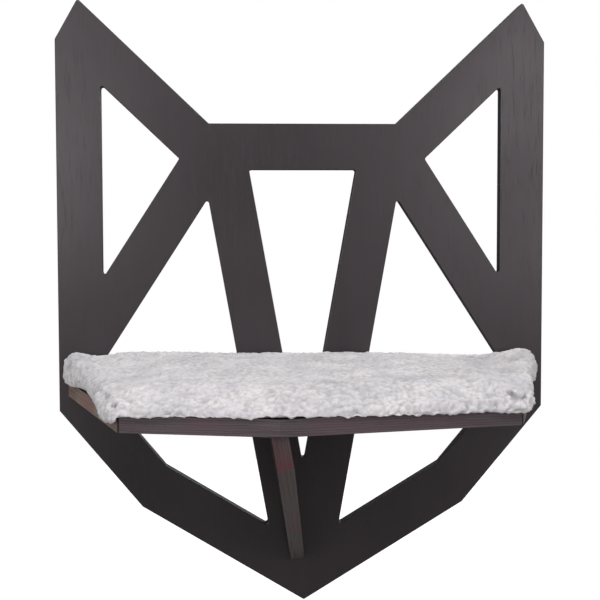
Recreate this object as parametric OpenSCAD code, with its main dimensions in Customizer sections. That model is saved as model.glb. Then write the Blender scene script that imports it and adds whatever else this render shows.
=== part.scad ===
// Wall shelf for a cat: a flat board cut as a cat's head, with a five-sided
// shelf bolted across it, one upright gusset under the shelf and a fleece pad
// on top.
// Heights in the settings are measured up from the tip of the chin.
// The model's own origin is in the plane of the wall, midway between the four
// wall hangers: +X to the right, +Y into the wall, +Z up.

/* [Frame board] */
// Width of the board across the cheeks
frame_w = 500; // [470:1:540]
// Thickness of the board
frame_t = 15; // [14:0.5:20]
// Height of the ear tips
ear_tip_z = 619; // [605:1:650]
// Distance from one ear tip to the other
ear_tip_w = 454; // [440:1:466]
// Height of the corners where the ears start
shoulder_z = 578.5; // [565:0.5:590]
// Height of the straight brow between the ears
brow_z = 494.5; // [485:0.5:505]
// Length of the brow
brow_w = 192; // [180:1:205]
// Height of the corners under the cheeks
hip_z = 201.5; // [192:0.5:210]
// Height of the jaw corners
jaw_z = 101; // [92:1:110]
// Distance from one jaw corner to the other
jaw_w = 333; // [320:1:346]
// Radius on the outer corners
outer_r = 2; // [1:0.5:4]

/* [Openings in the frame] */
// Width of the upright band along each side
side_band = 45; // [42:0.5:50]
// Width of the band along the top of each ear opening
ear_band = 46.5; // [42:0.5:50]
// Width of the band under the brow
brow_band = 47; // [42:0.5:52]
// Width of the band along the lower edge of each cheek
cheek_band = 45.5; // [40:0.5:50]
// Width of the band along the jaw
jaw_band = 48.5; // [44:0.5:54]
// Width of the slanted strut between ear and eye openings
strut_w = 46; // [40:0.5:52]
// Width of the two legs beside the nose opening
leg_w = 46.5; // [42:0.5:52]
// Width of the bar behind the shelf
crossbar_w = 46; // [40:0.5:52]
// Width of the nose opening under the brow
nose_w = 110; // [100:1:118]
// Height where the sides of the nose opening would meet
nose_tip_z = 140; // [130:1:150]
// Distance between the inner corners of the ear openings
ear_inner_w = 252; // [242:1:262]
// Height of the ear openings' lower corners
ear_low_z = 336.5; // [325:0.5:350]
// Radius in the corners of the openings
opening_r = 2; // [1:0.5:4]

/* [Shelf board] */
// Thickness of the shelf
shelf_t = 15; // [14:0.5:20]
// Height of its underside
shelf_z = 217; // [210:0.5:224]
// Length of its back edge
shelf_back_w = 482; // [450:1:490]
// Angle by which each side edge leans in
shelf_side_angle = 16.2; // [10:0.1:20]
// Depth at the left front corner
shelf_left_d = 237; // [210:1:260]
// Depth at the nose, above the gusset
shelf_nose_d = 271; // [262:1:310]
// Depth at the right front corner
shelf_right_d = 221.5; // [200:0.5:250]
// Radius on the shelf's corners
shelf_r = 2; // [1:0.5:4]

/* [Gusset] */
// Thickness of the gusset
gusset_t = 15; // [14:0.5:20]
// Height of its foot on the frame
gusset_foot_z = 45; // [40:1:60]
// Depth of the blunt end at the foot
gusset_foot_d = 6; // [4:0.5:12]
// Height of the upright front edge under the nose
gusset_lip_h = 28; // [20:1:40]
// Setback of the front edge from the shelf's nose
gusset_setback = 3; // [1:0.5:10]

/* [Bolts and barrel nuts] */
// Thread diameter of the connecting bolts
bolt_d = 6; // [5:0.5:7]
// Length of the bolts with their heads
bolt_l = 50; // [48:1:56]
// Diameter of the countersunk heads
bolt_head_d = 12; // [11:0.5:14]
// Depth of the heads below the back face
bolt_sink = 0.5; // [0.2:0.1:1]
// Width of the hexagon socket across its flats
bolt_key = 4; // [3:0.5:5]
// Diameter of the barrel nuts
barrel_d = 10; // [9.5:0.5:12]
// Length of the barrel nuts
barrel_l = 10; // [9:0.5:11]
// Distance of a barrel nut from the frame's front face
barrel_in = 30; // [29:0.5:32]
// Distance of the outer shelf bolts from the middle
bolt_outer_x = 190; // [180:1:195]
// Distance of the inner shelf bolts from the middle
bolt_inner_x = 70; // [62:1:85]
// Height of the upper gusset bolt
gusset_bolt_high_z = 176; // [168:1:184]
// Height of the lower gusset bolt
gusset_bolt_low_z = 104; // [100:1:112]

/* [Dowels and wood screws] */
// Diameter of the wooden dowels
dowel_d = 8; // [6:0.5:8.5]
// Length of the dowels
dowel_l = 30; // [24:1:36]
// How far a dowel sits in the frame
dowel_in_frame = 10; // [8:0.5:11]
// Distance of the shelf dowels from the middle
dowel_x = 128; // [110:1:150]
// Height of the gusset dowel
gusset_dowel_z = 140; // [132:1:148]
// Shank diameter of the screws from shelf to gusset
top_screw_d = 4; // [3.5:0.5:4.5]
// Length of those screws
top_screw_l = 38; // [32:1:42]
// Distance of the rear one from the frame's front face
top_screw_rear = 80; // [70:1:100]
// Distance of the front one from the frame's front face
top_screw_front = 205; // [180:1:225]

/* [Wall hangers] */
// Height of the entry holes of the upper hangers
hanger_high_z = 540; // [530:1:548]
// Height of the entry holes of the lower hangers
hanger_low_z = 270; // [262:1:285]
// Width of a hanger plate
plate_w = 18; // [17:0.5:22]
// Thickness of a hanger plate
plate_t = 1.6; // [1.4:0.1:2.5]
// Diameter of the round entry hole
entry_d = 10; // [9:0.5:11]
// Width of the slot above the entry hole
slot_w = 5; // [4:0.5:5.5]
// Height from the entry hole to the slot's end
slot_up = 15; // [12:1:18]
// Depth of the pocket behind the plate for the head of a wall screw
pocket_d = 6; // [4:0.5:7]
// Shank diameter of the plate screws
plate_screw_d = 3; // [2.5:0.5:3.5]
// Length of the plate screws
plate_screw_l = 12; // [8:1:12]

/* [Pad] */
// How far the pad's back corners stand out past the shelf's sides
pad_out_back = 7; // [4:0.5:8]
// How far its front corners stand out past the shelf
pad_out_front = 10; // [6:0.5:12]
// How far it stands out at the shelf's nose
pad_out_nose = 4; // [2:0.5:6]
// How far its sides draw in between the corners
pad_draw_in = 9; // [4:0.5:11]
// Place of the narrowest part of a side, as a share of its length from the back
pad_waist = 0.32; // [0.25:0.01:0.5]
// Radius of the pad's corners, seen from above
pad_corner_r = 14; // [12:1:20]
// Height of the pad's rim along the frame
pad_back_h = 30; // [27:1:36]
// Height of the pad's rim at the shelf's nose
pad_front_h = 20; // [18:1:26]
// How far the middle rises above the rim
pad_crown = 5; // [3:0.5:10]
// Width of the rounding along the rim
pad_round = 11; // [8:0.5:12]
// Thickness of the foam inside
foam_t = 10; // [8:0.5:12]
// Distance of the foam from the rim
foam_in = 22; // [20:1:28]
// Thickness of the base cloth
cloth_t = 1; // [0.8:0.1:1.5]
// Thickness of one layer of hook or loop tape
tape_t = 1; // [0.8:0.1:1.3]
// Width of the tapes
tape_w = 25; // [20:1:30]
// Length of the tapes
tape_l = 60; // [50:1:75]

/* [Hidden] */

// Colours, as the object shows them
stain = "#4c464a";
stained_edge = "#5a4c4e";
zinc = "#b9bcc0";
beech = "#c9a878";
tape_black = "#2a2a2c";
cloth_grey = "#8f8f96";
foam_white = "#ece9df";
fleece = "#d6d3da";

// Roundness of holes and bolts
$fn = 48;
// Steps in a small rounded corner
arc_steps = 4;
// Reach of a cut past the face that it opens
past = 1;
// Larger than the whole board, for cutting half spaces
far = 2000;

// Clearances
slip = 0.25; // round a bolt or screw in its clearance hole
snug = 0.05; // round a dowel, a thread or a driven shank
head_room = 0.15; // round a countersunk head
plate_room = 0.2; // round a hanger plate in its recess
pad_lift = 0.3; // between the pad and what it rests on
pad_back_gap = 2; // between the pad and the frame

// Plane geometry
function unit(v) = v / norm(v);
function left_of(v) = [-v.y, v.x];
function meet(p, u, q, v) = p + u * cross(q - p, v) / cross(u, v);
function mirrored(points) = [for (p = points) [-p.x, p.y]];
function reversed(points) = [for (i = [len(points) - 1:-1:0]) points[i]];

// The part of a convex outline on one side of a line through p, where n points
// to the side that stays
function clip(points, p, n) = [
    for (i = [0:len(points) - 1])
        let (
            a = points[i],
            b = points[(i + 1) % len(points)],
            da = (a - p) * n,
            db = (b - p) * n
        )
        each concat(da >= 0 ? [a] : [], da * db < 0 ? [a + (b - a) * da / (da - db)] : [])
];
function clip_all(points, lines, i = 0) =
    i == len(lines) ? points : clip_all(clip(points, lines[i][0], lines[i][1]), lines, i + 1);

// An outline with its corners rounded to a radius, or less on a short edge
function rounded(points, r, steps = arc_steps) = [
    for (i = [0:len(points) - 1])
        let (
            p = points[i],
            a = points[(i + len(points) - 1) % len(points)],
            b = points[(i + 1) % len(points)],
            u = unit(a - p),
            v = unit(b - p),
            half = acos(max(-1, min(1, u * v))) / 2,
            run = min(r / tan(half), norm(a - p) * 0.45, norm(b - p) * 0.45),
            rr = run * tan(half),
            centre = p + unit(u + v) * rr / sin(half),
            from = p + u * run - centre,
            turn = sign(cross(from, p + v * run - centre)) * (180 - 2 * half)
        )
        for (k = [0:steps])
            let (w = turn * k / steps)
            centre + [from.x * cos(w) - from.y * sin(w), from.x * sin(w) + from.y * cos(w)]
];

// Outline of the frame, in X and height
half_w = frame_w / 2;
side_x = half_w - side_band;
chin = [0, 0];
jaw = [jaw_w / 2, jaw_z];
hip = [half_w, hip_z];
shoulder = [half_w, shoulder_z];
ear_tip = [ear_tip_w / 2, ear_tip_z];
brow_end = [brow_w / 2, brow_z];
right_half = [jaw, hip, shoulder, ear_tip, brow_end];
frame_outline = concat([chin], right_half, reversed(mirrored(right_half)));

// Lines that bound the openings: a point, and the way into the opening
shelf_mid_z = shelf_z + shelf_t / 2;
crossbar_top = shelf_mid_z + crossbar_w / 2;
crossbar_low = shelf_mid_z - crossbar_w / 2;
nose_top = [nose_w / 2, brow_z - brow_band];
nose_tip = [0, nose_tip_z];
leg_dir = unit(nose_top - nose_tip);
leg_out = [leg_dir.y, -leg_dir.x];
ear_dir = unit(brow_end - ear_tip);
ear_in = left_of(ear_dir);
ear_top_point = brow_end + ear_in * ear_band;
ear_inner = meet(ear_top_point, ear_dir, [ear_inner_w / 2, 0], [0, 1]);
ear_low = [side_x, ear_low_z];
strut_dir = unit(ear_inner - ear_low);
strut_out = left_of(strut_dir);
cheek_dir = unit(hip - jaw);
jaw_dir = unit(jaw - chin);

side_line = [[side_x, 0], [-1, 0]];
brow_line = [nose_top, [0, -1]];
nose_right = [nose_tip, -leg_out];
nose_left = [nose_tip, [leg_out.x, -leg_out.y]];
leg_line = [nose_tip + leg_out * leg_w, leg_out];
ear_line = [ear_top_point, ear_in];
strut_upper = [ear_low, -strut_out];
strut_lower = [ear_low + strut_out * strut_w, strut_out];
cheek_line = [hip + left_of(cheek_dir) * cheek_band, left_of(cheek_dir)];
jaw_line = [jaw + left_of(jaw_dir) * jaw_band, left_of(jaw_dir)];
above_bar = [[0, crossbar_top], [0, 1]];
below_bar = [[0, crossbar_low], [0, -1]];

board_box = [[-half_w, 0], [half_w, 0], [half_w, ear_tip_z], [-half_w, ear_tip_z]];
ear_opening = clip_all(board_box, [side_line, ear_line, strut_upper]);
eye_opening = clip_all(board_box, [side_line, strut_lower, leg_line, above_bar]);
cheek_opening = clip_all(board_box, [side_line, cheek_line, jaw_line, leg_line, below_bar]);
nose_upper = clip_all(board_box, [brow_line, nose_left, nose_right, above_bar]);
nose_lower = clip_all(board_box, [nose_left, nose_right, below_bar]);
paired_openings = [ear_opening, eye_opening, cheek_opening];
middle_openings = [nose_upper, nose_lower];

// Middle of the left leg, which carries the gusset
leg_tilt = atan2(leg_dir.x, leg_dir.y);
function leg_x(z) = -(leg_w / 2 / cos(leg_tilt) + (z - nose_tip_z) * tan(leg_tilt));

// Outline of the shelf, in X and Y, from its back left corner round the front
side_lean = tan(shelf_side_angle);
shelf_half = shelf_back_w / 2;
shelf_left = [-(shelf_half - shelf_left_d * side_lean), -shelf_left_d];
shelf_right = [shelf_half - shelf_right_d * side_lean, -shelf_right_d];
shelf_nose = [leg_x(shelf_z), -shelf_nose_d];
shelf_outline = [[-shelf_half, 0], shelf_left, shelf_nose, shelf_right, [shelf_half, 0]];
shelf_top = shelf_z + shelf_t;

// Where the shelf and the gusset are fastened
bolt_xs = [-bolt_outer_x, -bolt_inner_x, bolt_inner_x, bolt_outer_x];
gusset_bolt_zs = [gusset_bolt_low_z, gusset_bolt_high_z];
dowel_xs = [-dowel_x, dowel_x];
top_screw_ds = [top_screw_rear, top_screw_front];
gusset_d = shelf_nose_d - gusset_setback;
bolt_head_slope = 1.1; // height of a countersunk head to its overhang
bolt_head_h = (bolt_head_d - bolt_d) / 2 * bolt_head_slope;
bolt_key_depth = bolt_head_h * 0.8;
barrel_hole_r = barrel_d / 2 + snug;
top_screw_head_d = 2 * top_screw_d;
top_screw_head_h = (top_screw_head_d - top_screw_d) / 2;
top_screw_sink = 0.3;
screw_tip = 1.5; // length of a screw's point, as a multiple of its diameter

// Wall hangers
hanger_x = half_w - side_band / 2;
hanger_mid_z = (hanger_high_z + hanger_low_z) / 2;
plate_hole_margin = 2 * plate_screw_d;
plate_hole_clear = plate_screw_d + 3; // from a screw's middle to the keyhole
plate_below = entry_d / 2 + plate_hole_clear + plate_hole_margin;
plate_above = slot_up + slot_w / 2 + 1 + plate_hole_clear + plate_hole_margin;
pocket_room = 3; // pocket wider than the entry hole
pocket_w = entry_d + pocket_room;
plate_screw_head_d = 2 * plate_screw_d;
plate_screw_head_h = plate_screw_d / 2;

// Pad: heights above the shelf's top face
tape_gap_z = tape_t + pad_lift;
cloth_z = tape_gap_z + tape_t;
foam_z = cloth_z + cloth_t;
pad_centre = [0, -shelf_right_d / 2];
pad_side_steps = 8;
pad_corner_steps = 4;
pad_rim_steps = 6;
pad_least_r = 2;
crown_scales = [0.9, 0.75, 0.55, 0.3];
tape_shares = [[0.6, 0.25], [0.45, 0.78]]; // of the shelf's half width and depth
tape_places = [
    for (share = tape_shares, side = [-1, 1])
        [side * shelf_half * share.x, shelf_right_d * share.y]
];

// The shelf's edge from corner i to the next
function edge_dir(i) =
    unit(shelf_outline[(i + 1) % len(shelf_outline)] - shelf_outline[i]);

// The pad's corners, a distance d inside its outer edge: each is a corner of
// the shelf moved out, but the back edge stays clear of the frame
pad_outs = [pad_out_back, pad_out_front, pad_out_nose, pad_out_front, pad_out_back];
function pad_shift(edge, corner) = edge == len(shelf_outline) - 1 ? -pad_back_gap : pad_outs[corner];
function pad_edge(edge, corner, d) =
    shelf_outline[edge] - left_of(edge_dir(edge)) * (pad_shift(edge, corner) - d);
function pad_corners(d) = [
    for (i = [0:len(shelf_outline) - 1])
        let (before = (i + len(shelf_outline) - 1) % len(shelf_outline))
        meet(pad_edge(before, i, d), edge_dir(before), pad_edge(i, i, d), edge_dir(i))
];

// How deep each side bows in, as a share of pad_draw_in, and how far along it
// the deepest place is
pad_bows = [1, 0.1, 0.1, 1, 0.3];
pad_waists = [pad_waist, 0.5, 0.5, 1 - pad_waist, 0.5];
function bow_at(i, s) =
    let (
        waist = pad_waists[i],
        t = s < waist ? s / waist : (1 - s) / (1 - waist)
    )
    pad_draw_in * pad_bows[i] * pow(sin(90 * t), 2);

// The pad's outline: its corner arcs, joined by sides that bow inward
function joined(arcs) = [
    for (i = [0:len(shelf_outline) - 1])
        let (
            first = i * (pad_corner_steps + 1),
            last = first + pad_corner_steps,
            a = arcs[last],
            b = arcs[(last + 1) % len(arcs)],
            inward = left_of(unit(b - a))
        )
        each concat(
            [for (k = [first:last]) arcs[k]],
            [
                for (k = [1:pad_side_steps - 1])
                    let (s = k / pad_side_steps)
                    a + (b - a) * s + inward * bow_at(i, s)
            ]
        )
];
function pad_outline(d) =
    joined(rounded(pad_corners(d), max(pad_corner_r - d, pad_least_r), pad_corner_steps));
function shrunk(points, k) = [for (p = points) pad_centre + (p - pad_centre) * k];
// The rim's height at a depth, and the height of a point that lies a share of
// the way up the rim
function rim_h(y) = pad_back_h + (pad_front_h - pad_back_h) * min(1, -y / shelf_nose_d);
function raised(p, share, extra) =
    [p.x, p.y, pad_lift + (rim_h(p.y) - pad_lift) * share + extra];
pad_rings = concat(
    [
        for (k = [0:pad_rim_steps])
            let (w = -90 + 180 * k / pad_rim_steps)
            [for (p = pad_outline(pad_round * (1 - cos(w)))) raised(p, (1 + sin(w)) / 2, 0)]
    ],
    [
        for (k = crown_scales)
            [for (p = shrunk(pad_outline(pad_round), k)) raised(p, 1, pad_crown * (1 - k * k))]
    ]
);

// A closed skin over rings of points, with a point below and one above
module skin(rings, low, high) {
    n = len(rings[0]);
    m = len(rings);
    points = concat([for (ring = rings) each ring], [low, high]);
    faces = concat(
        [for (i = [0:n - 1]) [n * m, (i + 1) % n, i]],
        [
            for (j = [0:m - 2], i = [0:n - 1], half = [0, 1])
                half == 0
                    ? [n * j + i, n * j + (i + 1) % n, n * (j + 1) + i]
                    : [n * j + (i + 1) % n, n * (j + 1) + (i + 1) % n, n * (j + 1) + i]
        ],
        [for (i = [0:n - 1]) [n * m + 1, n * (m - 1) + i, n * (m - 1) + (i + 1) % n]]
    );
    polyhedron(points, [for (f = faces) reversed(f)]);
}

// From heights above the chin to the model's own origin
module placed() {
    translate([0, 0, -hanger_mid_z]) children();
}

// A flat piece drawn in X and height, from the wall plane forward
module upright(depth) {
    rotate([90, 0, 0]) linear_extrude(depth) children();
}

// Places along the shelf's back edge, at the middle of its thickness
module at_shelf_edge(xs) {
    for (x = xs) translate([x, 0, shelf_mid_z]) children();
}

// Places on the left leg, turned to stand along it
module on_leg(zs) {
    for (z = zs) translate([leg_x(z), 0, z]) rotate([0, -leg_tilt, 0]) children();
}

// Places of the screws that go down through the shelf into the gusset, at the
// middle of the gusset's thickness halfway down their length
module at_top_screws() {
    x = leg_x(shelf_top - top_screw_l / 2 - shelf_t / 2);
    for (d = top_screw_ds) translate([x, -frame_t - d, shelf_top]) children();
}

module at_hangers() {
    for (x = [-hanger_x, hanger_x], z = [hanger_low_z, hanger_high_z])
        translate([x, 0, z]) children();
}

module at_plate_screws() {
    for (z = [-plate_below + plate_hole_margin, plate_above - plate_hole_margin])
        translate([0, 0, z]) children();
}

module at_tapes() {
    for (p = tape_places) translate([p.x, -frame_t - p.y, shelf_top]) children();
}

// A shank or hole along -Y, from y to y - length
module along_y(r, y, length) {
    translate([0, y, 0]) rotate([90, 0, 0]) cylinder(r = r, h = length);
}

// A countersunk head along -Y, from the wider end at y
module head_along_y(r, neck_r, y, length) {
    translate([0, y, 0]) rotate([90, 0, 0]) cylinder(r1 = r, r2 = neck_r, h = length);
}

// A connecting bolt seen from the back, its head under the wall plane
module bolt() {
    difference() {
        union() {
            head_along_y(bolt_head_d / 2, bolt_d / 2, -bolt_sink, bolt_head_h);
            along_y(bolt_d / 2, -bolt_sink - bolt_head_h, bolt_l - bolt_head_h);
        }
        translate([0, past - bolt_sink, 0])
            rotate([90, 0, 0])
                cylinder(r = bolt_key / 2 / cos(30), h = past + bolt_key_depth, $fn = 6);
    }
}

// The hole that the bolt goes through, in frame, shelf and gusset
module bolt_hole() {
    along_y(bolt_head_d / 2 + head_room, past, past + bolt_sink);
    head_along_y(bolt_head_d / 2 + head_room, bolt_d / 2 + slip, -bolt_sink, bolt_head_h);
    along_y(bolt_d / 2 + slip, -bolt_sink, bolt_l + past);
}

// A barrel nut standing along Z, with its cross hole and a driver slot
module barrel_nut() {
    slot = barrel_d / 8;
    difference() {
        cylinder(r = barrel_d / 2, h = barrel_l, center = true);
        along_y(bolt_d / 2 + snug, barrel_d, 2 * barrel_d);
        translate([-barrel_d, -slot / 2, -barrel_l / 2 - past])
            cube([2 * barrel_d, slot, past + slot]);
    }
}

// The blind hole for a barrel nut, open downward
module barrel_hole(board_t) {
    translate([0, 0, -board_t / 2 - past])
        cylinder(r = barrel_hole_r, h = past + board_t / 2 + barrel_l / 2 + snug);
}

module in_barrel_place() {
    translate([0, -frame_t - barrel_in, 0]) children();
}

module dowel() {
    along_y(dowel_d / 2, -frame_t + dowel_in_frame, dowel_l);
}

module dowel_hole() {
    along_y(dowel_d / 2 + snug, -frame_t + dowel_in_frame + snug, dowel_l + 2 * snug);
}

// A countersunk wood screw pointing down from z = 0, or the hole for it when
// gap is more than 0
module wood_screw(d, head_d, length, gap = 0) {
    head_h = (head_d - d) / 2;
    point = screw_tip * d;
    translate([0, 0, -head_h]) cylinder(r1 = d / 2 + gap, r2 = head_d / 2 + gap, h = head_h);
    translate([0, 0, -length + point]) cylinder(r = d / 2 + gap, h = length - point - head_h);
    translate([0, 0, -length - gap]) cylinder(r1 = d / 20 + gap, r2 = d / 2 + gap, h = point + gap);
}

// A cross recess for the head of a wood screw, from z = 0 down
module cross_recess(d) {
    for (turn = [0, 90])
        rotate([0, 0, turn])
            translate([-d / 2, -d / 8, -d / 3])
                cube([d, d / 4, d / 3 + past]);
}

// A hanger plate's outline with round ends, from the wall plane forward
module plate_shape(room, depth) {
    r = plate_w / 2 + room;
    low = -plate_below + plate_w / 2;
    high = plate_above - plate_w / 2;
    translate([0, 0, low]) along_y(r, 0, depth);
    translate([0, 0, high]) along_y(r, 0, depth);
    translate([-r, -depth, low]) cube([2 * r, depth, high - low]);
}

module keyhole() {
    along_y(entry_d / 2, past, plate_t + 2 * past);
    translate([0, 0, slot_up]) along_y(slot_w / 2, past, plate_t + 2 * past);
    translate([-slot_w / 2, -plate_t - past, 0]) cube([slot_w, plate_t + 2 * past, slot_up]);
}

// What a hanger takes out of the frame: a recess for the plate, a deeper
// pocket for the wall screw's head and pilot holes
module hanger_recess() {
    depth = plate_t + pocket_d;
    translate([0, past, 0]) plate_shape(plate_room, plate_t + past);
    along_y(pocket_w / 2, past, depth + past);
    translate([0, 0, slot_up]) along_y(pocket_w / 2, past, depth + past);
    translate([-pocket_w / 2, -depth, 0]) cube([pocket_w, depth + past, slot_up]);
    at_plate_screws()
        rotate([-90, 0, 0])
            wood_screw(plate_screw_d, plate_screw_head_d, plate_screw_l, snug);
}

module frame_board() {
    color(stain)
        placed()
            difference() {
                upright(frame_t) {
                    difference() {
                        polygon(rounded(frame_outline, outer_r));
                        for (opening = paired_openings) {
                            polygon(rounded(opening, opening_r));
                            polygon(rounded(mirrored(opening), opening_r));
                        }
                        for (opening = middle_openings) polygon(rounded(opening, opening_r));
                    }
                }
                at_shelf_edge(bolt_xs) bolt_hole();
                at_shelf_edge(dowel_xs) dowel_hole();
                on_leg(gusset_bolt_zs) bolt_hole();
                on_leg([gusset_dowel_z]) dowel_hole();
                at_hangers() hanger_recess();
            }
}

module shelf_board() {
    color(stain)
        placed()
            difference() {
                translate([0, -frame_t, shelf_z])
                    linear_extrude(shelf_t) polygon(rounded(shelf_outline, shelf_r));
                at_shelf_edge(bolt_xs) {
                    bolt_hole();
                    in_barrel_place() barrel_hole(shelf_t);
                }
                at_shelf_edge(dowel_xs) dowel_hole();
                at_top_screws() {
                    translate([0, 0, -shelf_t - past])
                        cylinder(r = top_screw_d / 2 + slip, h = shelf_t + 2 * past);
                    translate([0, 0, -top_screw_sink - top_screw_head_h])
                        cylinder(
                            r1 = top_screw_d / 2 + slip,
                            r2 = top_screw_head_d / 2 + slip,
                            h = top_screw_head_h
                        );
                    translate([0, 0, -top_screw_sink])
                        cylinder(r = top_screw_head_d / 2 + slip, h = past);
                }
            }
}

// The gusset's side view: distance out from the frame, and place along the leg
// from the shelf's underside
module gusset_profile() {
    foot = (gusset_foot_z - shelf_z) / cos(leg_tilt);
    lip = -gusset_lip_h / cos(leg_tilt);
    polygon([
        [0, gusset_t], [0, foot], [gusset_foot_d, foot], [gusset_d, lip], [gusset_d, gusset_t]
    ]);
}

module gusset() {
    color(stained_edge)
        placed()
            difference() {
                translate([0, -frame_t, 0])
                    on_leg([shelf_z])
                        rotate([0, 0, -90])
                            rotate([90, 0, 0])
                                linear_extrude(gusset_t, center = true) gusset_profile();
                translate([-far / 2, -far, shelf_z]) cube([far, far, gusset_d]);
                on_leg(gusset_bolt_zs) {
                    bolt_hole();
                    in_barrel_place() rotate([0, -90, 0]) barrel_hole(gusset_t);
                }
                on_leg([gusset_dowel_z]) dowel_hole();
                at_top_screws()
                    translate([0, 0, -top_screw_sink])
                        wood_screw(top_screw_d, top_screw_head_d, top_screw_l, snug);
            }
}

module shelf_bolts() {
    color(zinc) placed() at_shelf_edge(bolt_xs) bolt();
}

module shelf_barrel_nuts() {
    color(zinc) placed() at_shelf_edge(bolt_xs) in_barrel_place() barrel_nut();
}

module shelf_dowels() {
    color(beech) placed() at_shelf_edge(dowel_xs) dowel();
}

module gusset_bolts() {
    color(zinc) placed() on_leg(gusset_bolt_zs) bolt();
}

module gusset_barrel_nuts() {
    color(zinc) placed() on_leg(gusset_bolt_zs) in_barrel_place() rotate([0, -90, 0]) barrel_nut();
}

module gusset_dowel() {
    color(beech) placed() on_leg([gusset_dowel_z]) dowel();
}

module gusset_top_screws() {
    color(zinc)
        placed()
            at_top_screws()
                translate([0, 0, -top_screw_sink])
                    difference() {
                        wood_screw(top_screw_d, top_screw_head_d, top_screw_l);
                        cross_recess(top_screw_d);
                    }
}

module hanger_plates() {
    color(zinc)
        placed()
            at_hangers()
                difference() {
                    plate_shape(0, plate_t);
                    keyhole();
                    at_plate_screws() {
                        along_y(plate_screw_d / 2 + slip, past, plate_t + 2 * past);
                        head_along_y(
                            plate_screw_head_d / 2 + snug, plate_screw_d / 2 + snug, 0, plate_screw_head_h
                        );
                    }
                }
}

module hanger_screws() {
    color(zinc)
        placed()
            at_hangers()
                at_plate_screws()
                    rotate([-90, 0, 0])
                        difference() {
                            wood_screw(plate_screw_d, plate_screw_head_d, plate_screw_l);
                            cross_recess(plate_screw_d);
                        }
}

module tape(z) {
    translate([-tape_l / 2, -tape_w / 2, z]) cube([tape_l, tape_w, tape_t]);
}

module shelf_hook_tapes() {
    color(tape_black) placed() at_tapes() tape(0);
}

module pad_loop_tapes() {
    color(tape_black) placed() at_tapes() tape(tape_gap_z);
}

// Everything of the pad, drawn from the frame's front face and the shelf's top
module pad_placed() {
    placed() translate([0, -frame_t, shelf_top]) children();
}

module pad_base_cloth() {
    color(cloth_grey) pad_placed() translate([0, 0, cloth_z]) linear_extrude(cloth_t) base_cloth_shape();
}

// The base cloth lies just inside the cover's rounded lower rim
module base_cloth_shape() {
    polygon(pad_outline(pad_round));
}

module foam_shape() {
    polygon(pad_outline(foam_in));
}

module pad_foam() {
    color(foam_white) pad_placed() translate([0, 0, foam_z]) linear_extrude(foam_t) foam_shape();
}

module pad_cover() {
    color(fleece)
        pad_placed()
            difference() {
                skin(
                    pad_rings,
                    raised(pad_centre, 0, 0),
                    raised(pad_centre, 1, pad_crown)
                );
                translate([0, 0, -past]) linear_extrude(foam_z + past) base_cloth_shape();
                translate([0, 0, cloth_z]) linear_extrude(foam_z + foam_t - cloth_z) foam_shape();
            }
}

frame_board();
shelf_board();
gusset();
shelf_bolts();
shelf_barrel_nuts();
shelf_dowels();
gusset_bolts();
gusset_barrel_nuts();
gusset_dowel();
gusset_top_screws();
hanger_plates();
hanger_screws();
shelf_hook_tapes();
pad_loop_tapes();
pad_base_cloth();
pad_foam();
pad_cover();
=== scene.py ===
import math

import bmesh
import bpy
from mathutils import Euler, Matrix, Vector, noise
from mathutils.kdtree import KDTree


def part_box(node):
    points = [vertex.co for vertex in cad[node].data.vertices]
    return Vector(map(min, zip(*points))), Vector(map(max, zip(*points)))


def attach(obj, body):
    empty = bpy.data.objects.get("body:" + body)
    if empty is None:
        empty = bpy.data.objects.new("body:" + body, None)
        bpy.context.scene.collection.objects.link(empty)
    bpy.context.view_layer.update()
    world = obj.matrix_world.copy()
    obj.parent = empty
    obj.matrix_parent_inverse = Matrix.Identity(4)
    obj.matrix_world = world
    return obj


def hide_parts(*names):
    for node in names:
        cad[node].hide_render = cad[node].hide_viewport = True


MM = 0.001
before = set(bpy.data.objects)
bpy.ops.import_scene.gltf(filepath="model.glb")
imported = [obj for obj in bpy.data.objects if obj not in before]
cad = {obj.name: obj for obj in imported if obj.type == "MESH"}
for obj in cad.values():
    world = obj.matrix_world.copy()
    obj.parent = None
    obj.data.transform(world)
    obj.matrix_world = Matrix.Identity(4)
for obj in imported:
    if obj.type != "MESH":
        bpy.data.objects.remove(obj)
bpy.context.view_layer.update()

# Measures

BOARD_T = 15 * MM
PLIES = 7.0
FRAME_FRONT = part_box("frame_board")[0].y
SHELF_LOW, SHELF_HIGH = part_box("shelf_board")
SHELF_TOP = SHELF_HIGH.z
SHELF_UNDER = SHELF_LOW.z
# The left leg, which the gusset follows: how far it leans over its length, and
# where its middle passes the shelf's underside
LEG_LEAN = 55 * MM
LEG_RISE = 307.5 * MM
LEG_TILT = math.atan2(LEG_LEAN, LEG_RISE)
LEG_AT_SHELF = Vector((-37.39 * MM, 0, SHELF_UNDER))
GUSSET_NORMAL = Vector((math.cos(LEG_TILT), 0, math.sin(LEG_TILT)))
# The shelf's corners seen from above, in mm: across, and out from the frame
SHELF_CORNERS = ((-241, 0), (-172.15, 237), (-37, 271), (176.65, 221.5), (241, 0))

# Node work


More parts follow.
